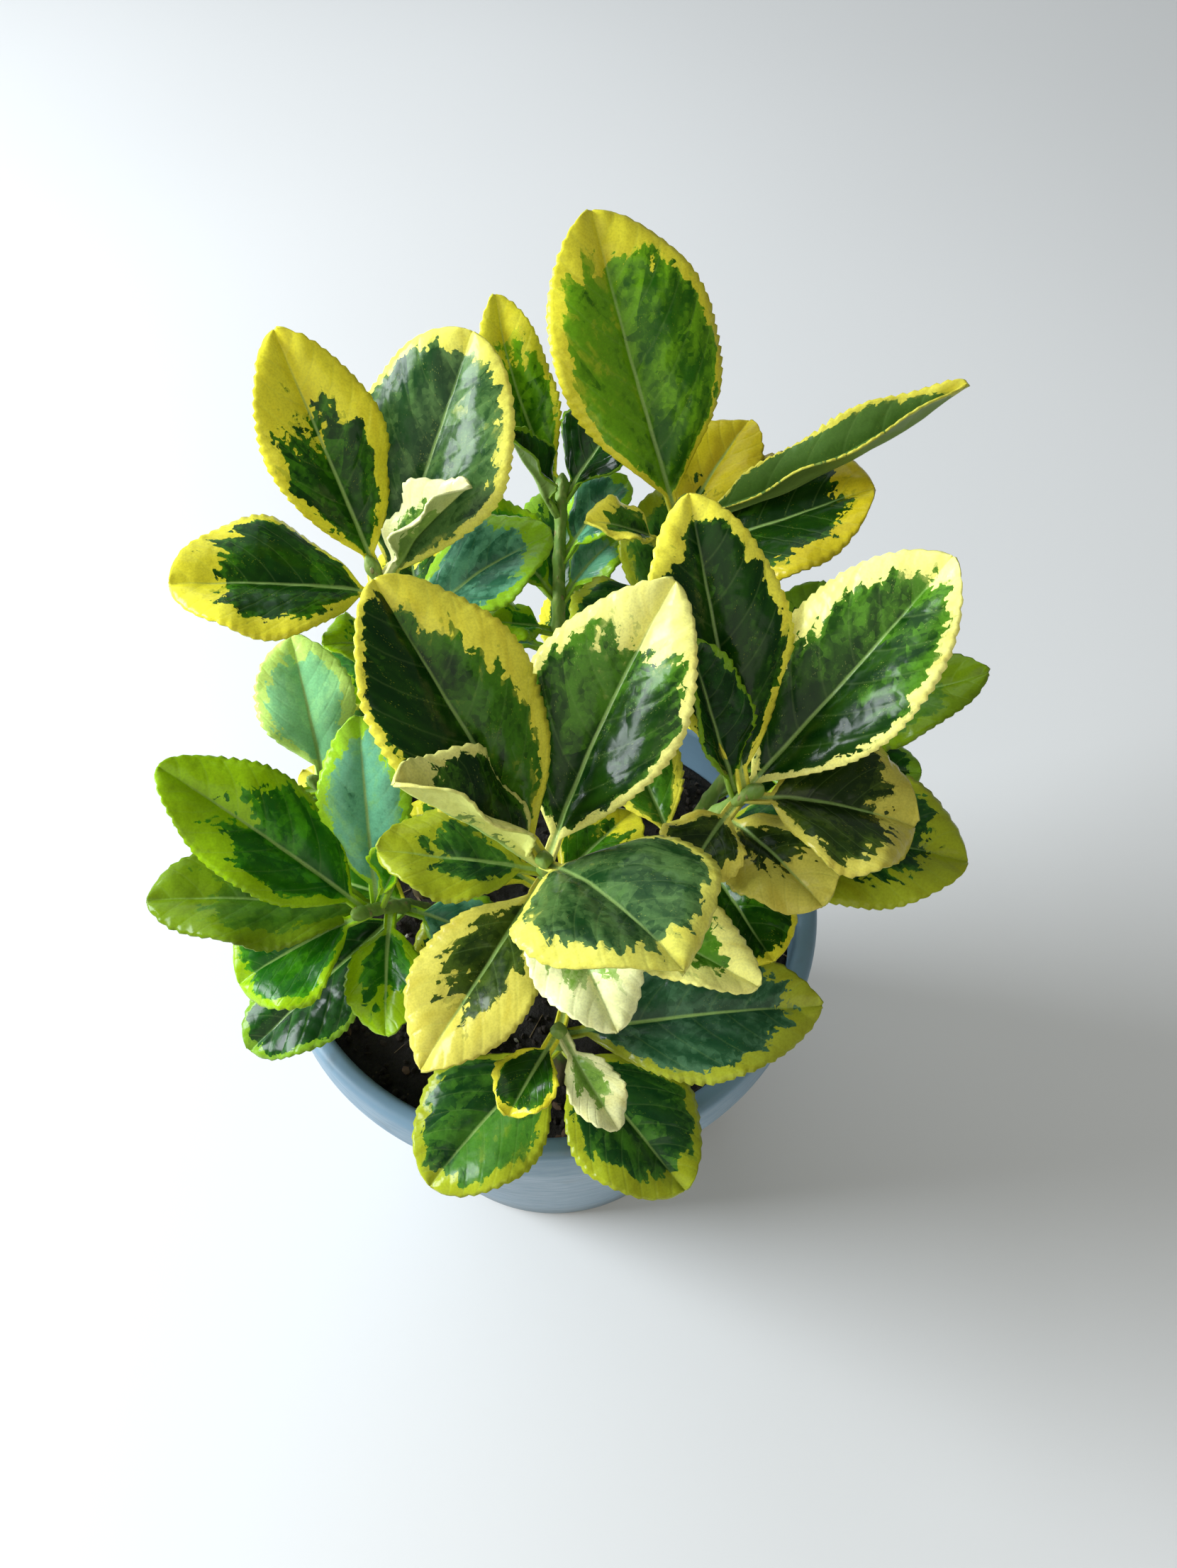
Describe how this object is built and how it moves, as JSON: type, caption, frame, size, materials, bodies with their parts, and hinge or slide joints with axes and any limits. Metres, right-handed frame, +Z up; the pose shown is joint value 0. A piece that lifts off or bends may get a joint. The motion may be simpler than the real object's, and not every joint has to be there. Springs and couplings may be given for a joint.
{
  "type": "potted euonymus",
  "caption": "Young evergreen shrub with toothed, yellow-edged leaves on upright stems, standing in soil in a round tapered plastic pot.",
  "frame": {"origin": "centre of the pot's flat base", "axes": "+Z up through the pot, -Y towards the plant's front, as the picture shows it, +X to its right"},
  "size_m": [0.1577, 0.1511, 0.2223],
  "materials": {
    "pot": "blue-grey moulded plastic with a soft sheen",
    "soil": "dark crumbly potting soil",
    "leaf": "glossy leathery leaves, dark green with irregular yellow margins"
  },
  "bodies": {
    "root": {"pot": "pot", "soil": "soil", "stem_front_centre": "leaf", "stem_right": "leaf", "stem_back_right": "leaf", "stem_back_left": "leaf", "stem_back_centre": "leaf", "stem_left": "leaf", "stem_front_low": "leaf", "stem_right_back": "leaf", "stem_left_back": "leaf"}
  },
  "joints": []
}
